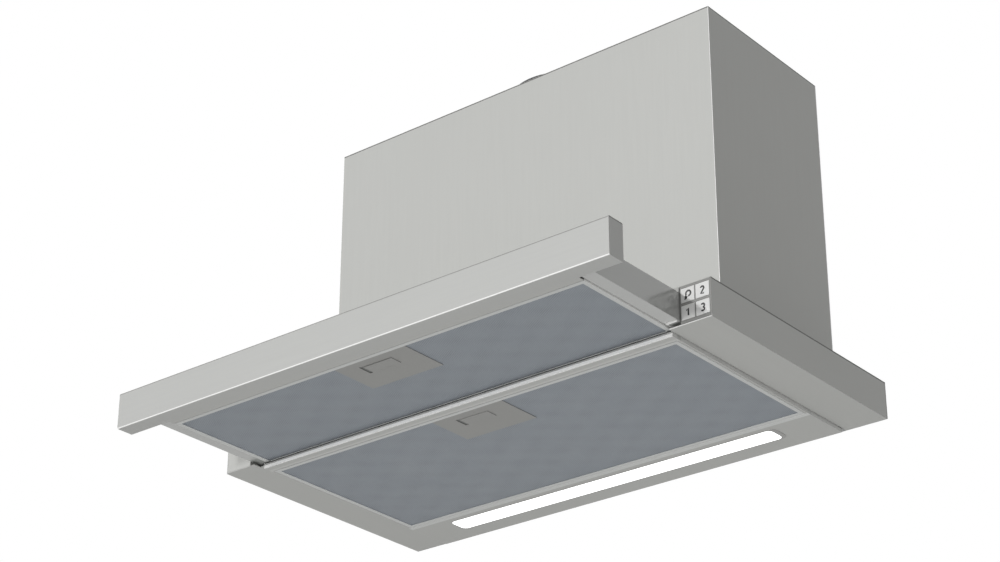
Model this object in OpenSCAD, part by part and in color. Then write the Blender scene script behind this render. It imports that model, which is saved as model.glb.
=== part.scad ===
// Pull-out cooker hood for a 60 cm wall cabinet, shown with its drawer out.
// Origin: middle of the casing's footprint, on the top face of the fixed body,
// which seats against the cabinet. +X to the right seen from the front,
// +Y towards the wall, +Z up.

/* [Body] */
// Full width of the hood
hood_w = 598; // [560:2:900]
// Depth of the fixed body, from its front to the wall
body_d = 298; // [292:1:340]
// Height of the fixed body
body_h = 38.5; // [37:0.5:48]
// Thickness of the sheet metal
sheet_t = 1; // [0.8:0.1:1.2]
// Width of the plain strip along each side of the underside
strip_w = 46.5; // [44:0.5:50]
// How far the underside panel hangs below the side strips
panel_drop = 4; // [3:0.5:6]
// Gap at the seams between neighbouring sheets
seam = 0.4; // [0.2:0.1:0.6]
// Height of the fold along the body's top front edge
header_h = 5; // [3:0.5:6]
// How far the underside panel's front lip stands back from the body's front
lip_set = 6.2; // [1.5:0.1:8]
// Width of the underside panel's front lip
lip_w = 11.2; // [10:0.1:24]
// Width of the underside panel's rails beside the rear filter
panel_rail_w = 2.7; // [2:0.1:6]
// Distance from the underside panel's rear end to the wall
panel_set = 7.5; // [6:0.5:11]
// Width of the folds that join the sheets
fold_w = 11; // [8:1:14]

/* [Casing] */
// Width of the upper casing
casing_w = 488; // [440:2:520]
// Depth of the upper casing
casing_d = 198; // [194:1:220]
// Height of the upper casing above the body
casing_h = 355; // [330:5:420]
// Gap between the casing's back and the wall
casing_set = 1; // [0.5:0.5:6]
// Width of the casing's folded flanges
flange_w = 14; // [12:1:20]

/* [Cabinet fixing] */
// Radius of the four fixing holes in the top of the body
fix_hole_r = 2.25; // [1.5:0.05:2.7]
// Distance of the fixing holes from the side of the hood
fix_edge = 15; // [14.5:0.5:16]
// Distance between the fixing holes, front to back
fix_pitch_y = 140; // [80:5:160]

/* [Drawer] */
// How far the drawer is pulled out
pull_out = 130; // [90:5:130]
// Gap left between the bar and the body when the drawer is shut
shut_gap = 0.3; // [0.2:0.1:1]
// Thickness of the front bar, front to back
bar_t = 20; // [14:0.5:26]
// Height of the front bar
bar_h = 37; // [34:0.5:37]
// Wall of the front bar's hollow profile
bar_wall = 1.4; // [1:0.1:2]
// Corner radius of the front bar's profile
bar_corner_r = 1.2; // [0.8:0.1:2]
// Thickness of the front bar's end caps
cap_t = 1.5; // [1:0.1:3]
// Depth of the end caps' plugs inside the bar
cap_plug = 12; // [6:1:20]
// Width at each side of the body that the drawer leaves to the buttons
control_w = 34; // [33:0.5:38]
// Width of the flange under each drawer side
drawer_flange_w = 14.5; // [14:0.1:20]
// Step from the front filter's underside up to the drawer's flanges
drawer_step = 1.8; // [1.6:0.1:3]
// Width of the rail between the bar and the front filter
front_rail_w = 9.1; // [8:0.1:16]
// Width of the rail behind the front filter
rear_rail_w = 8; // [6:0.5:10]
// Clearance behind the drawer's sides when it is shut
tail_gap = 12; // [10:1:16]
// Clearance between sliding sheets
slide_gap = 0.6; // [0.4:0.1:1]

/* [Runners] */
// Height of the fixed runner
runner_h = 26; // [24:0.5:27]
// Wall of the runners
runner_t = 1.2; // [1:0.1:1.5]
// Length of the drawer's runner
runner_l = 124; // [100:1:126]
// Distance from the body's front to the runners
runner_set = 34; // [33:1:36]
// Diameter of the balls
ball_d = 3; // [2.6:0.1:3.2]
// Clearance between a ball and a raceway
ball_gap = 0.1; // [0.05:0.01:0.15]
// Distance between neighbouring balls
ball_pitch = 16; // [12:1:18]
// Number of balls in each row
ball_count = 4; // [2:1:4]
// Wall of the ball cages
cage_t = 0.8; // [0.6:0.1:1]
// Wall of the brackets that carry the fixed runners
bracket_t = 2; // [1.5:0.1:2.5]

/* [Filters] */
// Thickness of both grease filters
filter_t = 5.6; // [5:0.1:6.5]
// Height from the rear filter's top to the front filter's underside
filter_gap = 1.2; // [1:0.1:3]
// Width of the filters' frames round the mesh
rim_w = 4.5; // [2.5:0.1:6]
// Width of the panel between the rear filter and the lamp's opening
lamp_band = 12.5; // [12:0.5:30]
// How far the front filter reaches behind the body's front
filter_tuck = 12; // [10:0.5:14]
// Lip of the filter frames under and over the mesh
frame_lip = 0.9; // [0.8:0.1:1]
// Thickness of one layer of mesh
mesh_t = 0.6; // [0.4:0.1:0.8]
// Depth of the mesh's edge inside the frame
mesh_edge = 2.3; // [1:0.1:2.3]
// Length of the tabs behind each filter
tab_l = 3.4; // [3:0.1:4]
// Width of the tabs behind each filter
tab_w = 22; // [12:1:40]
// Distance from the middle to each tab
tab_x = 160; // [60:5:200]

/* [Filter latches] */
// Width of the latch plate
latch_plate_w = 86; // [80:1:100]
// Depth of the latch plate
latch_plate_d = 54; // [50:1:60]
// Thickness of the latch plate
latch_plate_t = 0.8; // [0.6:0.1:0.8]
// Width of the latch handle
handle_w = 34; // [24:1:36]
// Depth of the latch handle
handle_d = 14; // [12:0.5:15]
// Distance from the mesh's front edge to the latch handle
handle_set = 11; // [10:0.5:12]
// Thickness of the latch handle
handle_t = 0.6; // [0.5:0.1:0.6]
// Travel of the latches
latch_travel = 4; // [3:0.1:4]
// Width of the latch tongue
tongue_w = 24; // [16:1:28]
// Thickness of the latch tongue
tongue_t = 1.5; // [1:0.1:1.6]
// How far the tongue reaches over its catch
tongue_reach = 3.4; // [2.5:0.1:3.4]
// Width of the finger gap beside the handle
finger_w = 4.6; // [4.4:0.1:6]
// Diameter of the latch springs
spring_d = 2.4; // [2:0.1:2.6]
// Wire of the latch springs
spring_wire = 0.36; // [0.3:0.02:0.4]
// Number of turns of the latch springs
spring_turns = 7; // [5:1:8]

/* [Lamp] */
// Length of the lamp's opening
lamp_w = 410; // [300:2:460]
// Width of the lamp's opening
lamp_d = 25; // [18:1:30]
// Corner radius of the lamp's opening
lamp_corner_r = 6; // [3:0.5:9]
// Distance from the lamp's opening to the wall
lamp_set = 32; // [29:1:36]
// How far the lamp's cover stands out below the panel
lamp_proud = 0.4; // [0:0.1:1]
// Number of lamp chips
chip_count = 24; // [12:1:32]

/* [Buttons] */
// Gap between a button and its hole
button_gap = 0.3; // [0.2:0.05:0.4]
// Width of the bars beside the buttons
button_bar = 0.8; // [0.6:0.1:1.2]
// Height of the bar between the two rows of buttons
button_row_bar = 2.4; // [1:0.1:3]
// Height of the plain strip above the buttons
button_head = 1.8; // [1:0.1:3]
// Height of the plain strip under the buttons
button_foot = 3; // [1:0.5:4]
// Travel of a button
button_travel = 2; // [1:0.1:2.5]
// Depth of the button block
control_d = 30; // [26:1:32]

/* [Outlet] */
// Outside radius of the duct collar
collar_r = 60; // [50:0.5:60]
// Wall of the duct collar
collar_t = 1.6; // [1.2:0.1:2]
// Height of the duct collar above the casing
collar_h = 21; // [18:1:40]
// Radius of the hinge pins on the non-return flaps
flap_pin_r = 1.5; // [1:0.1:1.5]
// Thickness of the flaps
flap_t = 1.4; // [1:0.1:1.4]
// Running clearance of pins and shafts
running_gap = 0.06; // [0.03:0.01:0.08]
// Radius of the hole through the cable gland
gland_bore_r = 4; // [3:0.5:5]

/* [Fan] */
// Radius of the fan wheel
wheel_r = 75; // [70:1:76]
// Width of the fan wheel
wheel_w = 100; // [80:2:104]
// Number of blades
blade_count = 36; // [24:1:40]
// Inside width of the fan housing
scroll_w = 120; // [116:2:130]
// Wall of the fan housing
scroll_t = 2; // [1.5:0.1:2.5]
// Inside radius of the fan housing at its tongue
scroll_r = 80; // [79:0.5:81]
// Gap between the fan housing and the casing's front
fan_front_gap = 6; // [4:0.5:8]
// Height of the fan's axis above the body
fan_z = 130; // [110:1:150]
// Gap between the fan housing and the casing's back
fan_gap = 2.2; // [1:0.1:3]
// Radius of the air inlets in the fan housing
inlet_r = 58; // [54:1:60]
// Radius of the motor
motor_r = 45; // [36:1:48]
// Length of the motor
motor_l = 44; // [36:1:46]
// Radius of the motor's shaft
shaft_r = 4; // [3:0.5:5]

/* [Hidden] */
$fn = 48;

satin = [0.74, 0.74, 0.72];
satin_dark = [0.60, 0.60, 0.58];
zinc = [0.66, 0.67, 0.68];
mesh_grey = [0.48, 0.51, 0.55];
button_white = [0.88, 0.88, 0.86];
dark_plastic = [0.16, 0.16, 0.17];
black_rubber = [0.06, 0.06, 0.06];
lamp_white = [0.98, 0.98, 0.96];
board_green = [0.10, 0.32, 0.18];

// body
half_w = hood_w / 2;
y_back = casing_d / 2 + casing_set;
y_front = y_back - body_d;
z_low = -body_h;
z_panel = z_low - panel_drop;
z_fold = z_low + 2 * sheet_t;
strip_x = half_w - strip_w;
panel_x = strip_x - seam;
y_panel = y_front + lip_set;
y_panel_end = y_back - panel_set;
y_fold_end = y_back - sheet_t - fold_w - 2;
fix_x = half_w - fix_edge;
intake_x = casing_w / 2 - sheet_t - flange_w;
intake_y = casing_d / 2 - sheet_t - flange_w;
rivet_r = 1.6;
rivet_head_r = 2.8;
rivet_head_h = 1;
rivet_gap = 0.05;
rivet_count = 6;
rivet_set = 14;
rivet_pitch = (body_d - control_d - 2 * rivet_set) / (rivet_count - 1);
ledge_rivet_x = half_w - sheet_t - fold_w / 2;
notch_w = 7;
notch_d = 9;
over = 5;

// screws
screw_r = 1.8;
screw_head_r = 3.6;
screw_head_h = 2;
cross_l = 4.4;
cross_w = 0.7;

// filters
filter_x = panel_x - panel_rail_w - seam;
y_rear_filter = y_panel + lip_w + seam;
y_rear_filter_end = y_back - lamp_set - lamp_d - lamp_band;
rear_filter_d = y_rear_filter_end - y_rear_filter;
pivot_gap = 0.8;
z_front_filter = z_panel + filter_t + filter_gap;
tab_t = 1;
lift_gap = 0.3;
fit_gap = 0.2;
latch_gap = 0.1;
latch_z = sheet_t + lift_gap;
case_x = 26;
case_d = handle_set + handle_d + 13;
case_wall = 1.2;
slider_x = 14.5;
slider_end = rim_w + handle_set + handle_d + 2;
link_x = 8;
link_set = 6;
link_d = 5;
coil_steps = 8;
coil_sides = 6;

// drawer
drawer_x = half_w - control_w;
z_drawer = z_front_filter + drawer_step;
z_cover = -header_h - slide_gap;
y_bar = y_front - shut_gap - pull_out;
z_bar = z_low + (body_h - bar_h) / 2;
y_filter = y_bar + front_rail_w + seam;
y_filter_end = y_front + filter_tuck;
y_rear_rail = y_filter_end + pivot_gap;
y_tail = y_back - pull_out - tail_gap;
drawer_flange_x = drawer_x - drawer_flange_w;
front_filter_x = drawer_flange_x - seam;
rear_rail_end = y_rear_rail + rear_rail_w;
flange_end = rear_rail_end - sheet_t - fit_gap;
pocket_y0 = y_front - 2.5;
pocket_y1 = y_front + 8;
y_stop = y_front - 5;
z_stop = z_fold + slide_gap;
cover_x = drawer_x - sheet_t - 0.1;
cover_overlap = 14;
cover_lip = 8;
front_rail_h = 12;
rear_rail_h = 3;
bar_x = half_w - cap_t;
cap_wall = 1.6;

// runners
runner_z = (z_drawer + z_cover) / 2;
y_runner = y_front + runner_set;
y_runner_end = y_back - 6;
y_drawer_runner = y_runner + 2;
runner_room = 13.4;
lip_gap = 2.5;
bracket_x = drawer_x + runner_room;
fixed_x = bracket_x - runner_t;
inner_lip_end = fixed_x - 2.2;
outer_lip_start = drawer_x + lip_gap;
race = ball_d + 2 * ball_gap;
drawer_runner_h = runner_h - 4 * runner_t - 2 * race + 2 * runner_t;
ball_x = drawer_x + 6.5;
ball_z = runner_h / 2 - runner_t - race / 2;
runner_rivet_set = 24;
runner_rivets = [y_runner + runner_rivet_set, y_runner_end - runner_rivet_set];
cage_l = (ball_count - 1) * ball_pitch + 10;
cage_x = inner_lip_end + 0.5;
cage_inner_x = ball_x - 2.8;
y_cage = y_drawer_runner + runner_l / 2 + pull_out / 4;
bar_screw_x = drawer_x - 8;
bar_screw_z = 7;
bar_screw_l = 8;
bar_screws = [for (side = [-1, 1], up = [-1, 1]) [side * bar_screw_x, runner_z + up * bar_screw_z]];

// buttons
bezel_x0 = drawer_x + slide_gap;
bezel_x1 = half_w - sheet_t;
bezel_z0 = z_low + sheet_t;
bezel_z1 = -sheet_t - 0.1;
button_z0 = bezel_z0 + button_foot;
hole_w = (bezel_x1 - bezel_x0 - 3 * button_bar) / 2;
hole_h = (bezel_z1 - button_head - button_z0 - button_row_bar) / 2;
bezel_t = 2;
button_depth = 7;
hook_set = 1.5;
hook_t = 1.2;
stem_r = 2;
board_set = 18;
board_y = y_front + board_set;
board_t = 1.6;
board_gap = 1.2;
switch_h = 4;
switch_w = 6;
plunger_r = 1.7;
plunger_l = 0.6;

// lamp
y_lamp = y_back - lamp_set - lamp_d / 2;
lamp_box_h = 5;
lamp_box_edge = 4;
lamp_box_wall = 1.2;
lamp_lip = 2;
lamp_board_w = 12;
chip = [3.5, 2.8, 0.8];

// outlet and fan
z_casing = casing_h;
collar_in = collar_r - collar_t;
throat_half = collar_in - 2.4;
tongue_a = 65;
scroll_room = casing_d - 3 * sheet_t - fan_gap - fan_front_gap - 2 * scroll_t - 2 * scroll_r;
scroll_growth = scroll_room / (1 + tongue_a / (tongue_a + 180));
fan_y = casing_d / 2 - 2 * sheet_t - fan_gap - scroll_t - scroll_radius(0);
collar_y = fan_y + scroll_r * cos(tongue_a) - throat_half;
flange_t = 1.5;
collar_flange_r = collar_r + 12;
z_ledge = z_casing + 1;
flap_z = z_ledge + flange_t + flap_pin_r + lift_gap;
flap_r = collar_in - 1.9;
flap_offset = 3;
gland_edge_x = 94;
gland_edge_y = 39;
gland_x = -casing_w / 2 + gland_edge_x;
gland_y = casing_d / 2 - gland_edge_y;
gland_l = 12;
gland_r = 8;
gland_rim = 3;
nut_h = 4;
screw_set = flange_w / 2;
top_flange_h = 20;
top_screws = [
    for (x = [-1, 1], y = [-intake_y - screw_set, intake_y - 10]) [x * (intake_x + screw_set), y],
    for (x = [-1, 1]) [x * (collar_flange_r + 12), -intake_y - screw_set]];
collar_screws = [for (a = [45:90:315])
    [(collar_r + 6.5) * cos(a), collar_y + (collar_r + 6.5) * sin(a)]];
housing_x = scroll_w / 2 + scroll_t;
housing_lip = 8;
inlet_lip = 4;
inlet_wall = 3;
hub_r = 14;
web_t = 2;
ring_t = 3;
ring_w = 9;
blade = [9, 1.2];
blade_r = wheel_r - 5.5;
blade_tilt = 32;
motor_end = -8;
boss_l = 4;
foot_r = 24;
foot_l = 3;
shaft_end = motor_end - motor_l + 12.3;
post_r = 16;
arm_w = 14;
arm_t = 2;
mount_r = 70;
mount_l = 5;
rubber_r = 6;
x_bracket = -housing_x - inlet_lip - mount_l;
z_box = z_casing - 90;
capacitor_r = 15;
capacitor_l = 50;
box_half = 40;
box_d = 36;
box_wall = 2;
lid_t = 4;

function scroll_radius(a) = scroll_r + scroll_growth * (tongue_a - a) / (tongue_a + 180);

function rivet_y(i) = y_front + control_d + rivet_set + i * rivet_pitch;

// the fan housing's side outline; grow pushes it outwards
function housing_outline(grow) = concat(
    [[fan_y + scroll_r * cos(tongue_a) + grow, z_casing - sheet_t]],
    [for (i = [0:28]) let (a = tongue_a - (tongue_a + 180) * i / 28)
        [fan_y + (scroll_radius(a) + grow) * cos(a), fan_z + (scroll_radius(a) + grow) * sin(a)]],
    [[collar_y - throat_half - grow, z_casing - sheet_t]]
);

module slab(low, high) {
    translate(low) cube(high - low);
}

// draws its children as they stand for the right side, mirrored for the left
module on_side(side) {
    if (side < 0) mirror([1, 0, 0]) children();
    else children();
}

module along_x(x) {
    translate([x, 0, 0]) rotate([90, 0, 90]) children();
}

module rounded_rect(w, h, r) {
    translate([r, 0]) square([w - 2 * r, h]);
    translate([0, r]) square([w, h - 2 * r]);
    for (x = [r, w - r], y = [r, h - r]) translate([x, y]) circle(r, $fn = 32);
}

module screw(length) {
    difference() {
        cylinder(r = screw_head_r, h = screw_head_h);
        slab([-cross_l / 2, -cross_w / 2, screw_head_h / 2], [cross_l / 2, cross_w / 2, screw_head_h + 1]);
        slab([-cross_w / 2, -cross_l / 2, screw_head_h / 2], [cross_w / 2, cross_l / 2, screw_head_h + 1]);
    }
    translate([0, 0, -length]) cylinder(r = screw_r, h = length);
}

// ---- fixed body ----

module side_panel(side) {
    on_side(side) color(satin) difference() {
        union() {
            slab([half_w - sheet_t, y_front, z_low], [half_w, y_back, 0]);
            slab([strip_x, y_front, z_low], [half_w, y_back - sheet_t, z_low + sheet_t]);
            slab([half_w - sheet_t - fold_w, y_front + control_d + 2, -2 * sheet_t],
                [half_w, y_back - sheet_t - seam, -sheet_t]);
            slab([half_w - sheet_t - fold_w, y_back - 2 * sheet_t, z_low],
                [half_w, y_back - sheet_t, -sheet_t]);
        }
        if (side < 0) slab([strip_x - 1, y_front - 1, z_low - 1],
            [strip_x + notch_w, y_front + notch_d, z_low + over]);
        for (i = [0:rivet_count - 1]) translate([ledge_rivet_x, rivet_y(i), -2 * sheet_t - 1])
            cylinder(r = rivet_r + rivet_gap, h = sheet_t + 2);
    }
}

module body_rivets() {
    color(zinc) for (side = [-1, 1]) on_side(side) {
        for (i = [0:rivet_count - 1]) translate([ledge_rivet_x, rivet_y(i), 0]) mirror([0, 0, 1])
            rivet(2 * sheet_t);
        for (y = runner_rivets) translate([fixed_x, y, runner_z]) rotate([0, 90, 0])
            rivet(runner_t + bracket_t);
    }
}

// flush at z = 0, with its head past the sheets that it joins
module rivet(grip) {
    cylinder(r = rivet_r, h = grip);
    translate([0, 0, grip]) cylinder(r = rivet_head_r, h = rivet_head_h);
}

module top_plate() {
    color(satin) difference() {
        union() {
            slab([-half_w + sheet_t + seam / 4, y_front, -sheet_t],
                [half_w - sheet_t - seam / 4, y_back - sheet_t - seam / 4, 0]);
            slab([-drawer_x + seam, y_front, -header_h], [drawer_x - seam, y_front + sheet_t, 0]);
        }
        slab([-intake_x, -intake_y, -over], [intake_x, intake_y, over]);
        for (x = [-fix_x, fix_x], y = [-fix_pitch_y / 2, fix_pitch_y / 2])
            translate([x, y, -over]) cylinder(r = fix_hole_r, h = 2 * over);
        for (side = [-1, 1], i = [0:rivet_count - 1])
            translate([side * ledge_rivet_x, rivet_y(i), -over])
                cylinder(r = rivet_r + rivet_gap, h = 2 * over);
    }
}

module back_panel() {
    color(satin_dark) {
        slab([-half_w + sheet_t + seam / 4, y_back - sheet_t, z_low],
            [half_w - sheet_t - seam / 4, y_back, 0]);
        slab([-panel_x, y_back - sheet_t - fold_w, z_low],
            [panel_x, y_back - sheet_t, z_low + sheet_t]);
    }
}

module underside_panel() {
    color(satin) difference() {
        union() {
            slab([-panel_x, y_panel, z_panel], [panel_x, y_panel_end, z_panel + sheet_t]);
            slab([-panel_x, y_panel, z_panel], [panel_x, y_panel + sheet_t, z_low + sheet_t]);
            slab([-panel_x, y_panel_end - sheet_t, z_panel], [panel_x, y_panel_end, z_low]);
            for (side = [-1, 1]) on_side(side) {
                slab([panel_x - sheet_t, y_panel, z_panel], [panel_x, y_panel_end, z_low]);
                slab([panel_x - sheet_t, y_panel, z_panel], [panel_x, y_fold_end, z_fold]);
                slab([panel_x - sheet_t, y_front + notch_d + 1, z_fold - sheet_t],
                    [strip_x + fold_w, y_fold_end, z_fold]);
            }
        }
        slab([-filter_x - seam, y_rear_filter - seam, z_panel - 1],
            [filter_x + seam, y_rear_filter_end + pivot_gap, z_panel + 2]);
        translate([0, y_lamp, z_panel - over]) linear_extrude(2 * over) lamp_outline(0);
    }
}

// plain face that closes the body's front at the left of the drawer
module front_blank() {
    color(satin) on_side(-1) {
        slab([bezel_x0, y_front, bezel_z0], [bezel_x1, y_front + sheet_t, bezel_z1]);
        for (x = [bezel_x0, bezel_x1 - sheet_t])
            slab([x, y_front, bezel_z0], [x + sheet_t, y_front + fold_w, bezel_z1]);
    }
}

// ---- lamp ----

// the opening's outline, pushed outwards by grow
module lamp_outline(grow) {
    translate([-lamp_w / 2 - grow, -lamp_d / 2 - grow])
        rounded_rect(lamp_w + 2 * grow, lamp_d + 2 * grow, lamp_corner_r + grow);
}

module light_cover() {
    color(lamp_white) translate([0, y_lamp, z_panel - lamp_proud]) {
        linear_extrude(sheet_t + lamp_proud) lamp_outline(-seam / 2);
        translate([0, 0, sheet_t + lamp_proud]) linear_extrude(1) lamp_outline(lamp_lip);
    }
}

module light_housing() {
    x = lamp_w / 2 + lamp_box_edge;
    y = lamp_d / 2 + lamp_box_edge;
    color(dark_plastic) translate([0, y_lamp, z_panel + sheet_t]) difference() {
        slab([-x, -y, 0], [x, y, lamp_box_h]);
        slab([-x + lamp_box_wall, -y + lamp_box_wall, -1],
            [x - lamp_box_wall, y - lamp_box_wall, lamp_box_h - 1]);
    }
}

module light_board() {
    z_top = z_panel + sheet_t + lamp_box_h - 1;
    z_bottom = z_top - 1.2;
    color(board_green)
        slab([-lamp_w / 2, y_lamp - lamp_board_w / 2, z_bottom],
            [lamp_w / 2, y_lamp + lamp_board_w / 2, z_top]);
    for (i = [0:chip_count - 1]) color(lamp_white)
        translate([(i + 0.5 - chip_count / 2) * lamp_w / (chip_count + 1), y_lamp, z_bottom - chip[2] / 2])
            cube(chip, center = true);
}

// ---- buttons ----

module in_button_grid(column, row) {
    translate([bezel_x0 + button_bar + column * (hole_w + button_bar), y_front,
        button_z0 + row * (hole_h + button_row_bar)]) children();
}

module button_bezel() {
    color(satin_dark) difference() {
        slab([bezel_x0, y_front, bezel_z0], [bezel_x1, y_front + control_d, bezel_z1]);
        slab([bezel_x0 + button_bar, y_front + bezel_t, bezel_z0 + button_bar],
            [bezel_x1 - button_bar, y_front + control_d + 1, bezel_z1 - button_bar]);
        for (column = [0, 1], row = [0, 1]) in_button_grid(column, row)
            slab([0, -1, 0], [hole_w, bezel_t + 1, hole_h]);
    }
}

// the hook along its lower edge keeps a button in its hole
module button(column, row) {
    stem_l = board_y - y_front - switch_h - button_depth - button_travel - lift_gap;
    color(button_white) in_button_grid(column, row) {
        slab([button_gap, 0, button_gap], [hole_w - button_gap, button_depth, hole_h - button_gap]);
        slab([hook_set, bezel_t + 2 * fit_gap, -fit_gap],
            [hole_w - hook_set, bezel_t + 2 * fit_gap + hook_t, 2]);
        translate([hole_w / 2, button_depth, hole_h / 2]) rotate([-90, 0, 0])
            cylinder(r = stem_r, h = stem_l);
    }
}

module switch_board() {
    color(board_green) slab([bezel_x0 + board_gap, board_y, bezel_z0 + board_gap],
        [bezel_x1 - board_gap, board_y + board_t, bezel_z1 - board_gap]);
    for (column = [0, 1], row = [0, 1]) color(dark_plastic) in_button_grid(column, row)
        translate([hole_w / 2, board_y - y_front, hole_h / 2]) rotate([90, 0, 0]) {
            translate([-switch_w / 2, -switch_w / 2, 0]) cube([switch_w, switch_w, switch_h - plunger_l]);
            cylinder(r = plunger_r, h = switch_h);
        }
}

// ---- runners ----

module runner_bracket(side) {
    on_side(side) color(zinc) difference() {
        union() {
            slab([bracket_x, y_runner, z_low + sheet_t], [bracket_x + bracket_t, y_runner_end, z_cover]);
            slab([bracket_x, y_runner, z_low + sheet_t],
                [half_w - 2 * sheet_t - fit_gap, y_runner_end, z_low + sheet_t + bracket_t]);
        }
        for (y = runner_rivets) translate([bracket_x - 1, y, runner_z]) rotate([0, 90, 0])
            cylinder(r = rivet_r + rivet_gap, h = bracket_t + 2);
    }
}

module fixed_runner(side) {
    on_side(side) color(zinc) {
        difference() {
            slab([fixed_x, y_runner, runner_z - runner_h / 2],
                [bracket_x, y_runner_end, runner_z + runner_h / 2]);
            for (y = runner_rivets) translate([fixed_x - 1, y, runner_z]) rotate([0, 90, 0])
                cylinder(r = rivet_r + rivet_gap, h = runner_t + 2);
        }
        for (up = [-1, 1])
            translate([outer_lip_start, y_runner, runner_z + up * (runner_h - runner_t) / 2 - runner_t / 2])
                cube([bracket_x - outer_lip_start, y_runner_end - y_runner, runner_t]);
    }
}

module drawer_runner(side) {
    lip_z = (drawer_runner_h - runner_t) / 2;
    on_side(side) color(zinc) {
        slab([drawer_x, y_drawer_runner, runner_z - drawer_runner_h / 2],
            [drawer_x + runner_t, y_drawer_runner + runner_l, runner_z + drawer_runner_h / 2]);
        for (up = [-1, 1])
            translate([drawer_x, y_drawer_runner, runner_z + up * lip_z - runner_t / 2])
                cube([inner_lip_end - drawer_x, runner_l, runner_t]);
    }
}

function ball_y(i) = y_cage + (i - (ball_count - 1) / 2) * ball_pitch;

module ball_cages() {
    color(dark_plastic) for (side = [-1, 1]) on_side(side) difference() {
        union() {
            slab([cage_x, y_cage - cage_l / 2, runner_z - ball_z - cage_t / 2],
                [cage_x + cage_t, y_cage + cage_l / 2, runner_z + ball_z + cage_t / 2]);
            for (up = [-1, 1])
                translate([cage_inner_x, y_cage - cage_l / 2, runner_z + up * ball_z - cage_t / 2])
                    cube([cage_x + cage_t - cage_inner_x, cage_l, cage_t]);
        }
        for (up = [-1, 1], i = [0:ball_count - 1]) translate([ball_x, ball_y(i), runner_z + up * ball_z - 2])
            cylinder(d = ball_d + fit_gap, h = 4);
    }
}

module runner_balls() {
    color(zinc) for (side = [-1, 1], up = [-1, 1], i = [0:ball_count - 1])
        translate([side * ball_x, ball_y(i), runner_z + up * ball_z]) sphere(d = ball_d, $fn = 24);
}

// ---- drawer ----

module bar_profile(inset) {
    translate([inset, inset]) rounded_rect(bar_t - 2 * inset, bar_h - 2 * inset, bar_corner_r);
}

module front_bar() {
    color(satin) difference() {
        translate([0, y_bar - bar_t, z_bar]) along_x(-bar_x) linear_extrude(2 * bar_x) difference() {
            bar_profile(0);
            bar_profile(bar_wall);
        }
        for (p = bar_screws) translate([p[0], y_bar, p[1]]) rotate([90, 0, 0])
            cylinder(r = screw_r + rivet_gap, h = bar_wall + 1);
    }
}

module bar_cap(side) {
    on_side(side) color(satin_dark) translate([0, y_bar - bar_t, z_bar]) {
        along_x(bar_x) linear_extrude(cap_t) bar_profile(0);
        along_x(bar_x - cap_plug) linear_extrude(cap_plug) difference() {
            bar_profile(bar_wall + fit_gap);
            bar_profile(bar_wall + fit_gap + cap_wall);
        }
    }
}

// the left flange has a pocket over the notch in the body's strip, the right one a stop lip
module drawer_side(side) {
    x = drawer_flange_x;
    on_side(side) color(satin) difference() {
        union() {
            slab([drawer_x - sheet_t, y_bar, z_drawer], [drawer_x, y_tail, z_cover]);
            slab([x, y_bar, z_drawer], [drawer_x, flange_end, z_drawer + sheet_t]);
            if (side > 0)
                slab([strip_x + seam, y_stop, z_stop], [drawer_x, y_stop + sheet_t, z_drawer + sheet_t]);
            slab([x, y_bar, z_cover - 2 * sheet_t], [drawer_x, y_rear_rail, z_cover - sheet_t]);
            slab([x, y_bar, z_drawer], [drawer_x, y_bar + sheet_t, z_cover - sheet_t]);
        }
        if (side < 0)
            slab([x - 1, pocket_y0, z_drawer - 1], [drawer_x - sheet_t, pocket_y1, z_drawer + 2]);
        for (p = bar_screws) translate([abs(p[0]), y_bar - 1, p[1]]) rotate([-90, 0, 0])
            cylinder(r = screw_r + rivet_gap, h = sheet_t + 2);
    }
}

module drawer_screws() {
    color(zinc) for (p = bar_screws) translate([p[0], y_bar + sheet_t, p[1]]) rotate([-90, 0, 0])
        screw(bar_screw_l);
}

module drawer_cover() {
    color(satin) {
        slab([-cover_x, y_bar, z_cover - sheet_t], [cover_x, y_front + cover_overlap, z_cover]);
        slab([-front_filter_x, y_bar, z_cover - cover_lip], [front_filter_x, y_bar + sheet_t, z_cover]);
    }
}

module drawer_front_rail() {
    x = front_filter_x;
    color(satin) {
        slab([-x, y_bar, z_front_filter], [x, y_bar + front_rail_w, z_front_filter + sheet_t]);
        slab([-x, y_bar, z_front_filter], [x, y_bar + sheet_t, z_front_filter + front_rail_h]);
    }
}

module drawer_rear_rail() {
    x = cover_x;
    color(satin) {
        slab([-x, y_rear_rail, z_front_filter], [x, rear_rail_end, z_front_filter + sheet_t]);
        slab([-x, rear_rail_end - sheet_t, z_front_filter], [x, rear_rail_end, z_drawer + rear_rail_h]);
    }
}

// ---- grease filters ----
// each filter is drawn with its underside at z = 0 and its front edge at y = 0

module at_front_filter() {
    translate([0, y_filter, z_front_filter]) children();
}

module at_rear_filter() {
    translate([0, y_rear_filter, z_panel]) children();
}

module filter_frame(x, depth) {
    color(satin) difference() {
        union() {
            slab([-x, 0, 0], [x, depth, filter_t]);
            for (s = [-1, 1]) translate([s * tab_x - tab_w / 2, depth - 1, sheet_t + lift_gap])
                cube([tab_w, tab_l + 1, tab_t]);
        }
        slab([-x + rim_w, rim_w, -1], [x - rim_w, depth - rim_w, filter_t + 1]);
        slab([-x + rim_w - mesh_edge - fit_gap, rim_w - mesh_edge - fit_gap, frame_lip],
            [x - rim_w + mesh_edge + fit_gap, depth - rim_w + mesh_edge + fit_gap, filter_t - frame_lip]);
        slab([-tongue_w / 2 - lift_gap, -1, latch_z - fit_gap],
            [tongue_w / 2 + lift_gap, rim_w + 1, latch_z + tongue_t + fit_gap]);
    }
}

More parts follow.
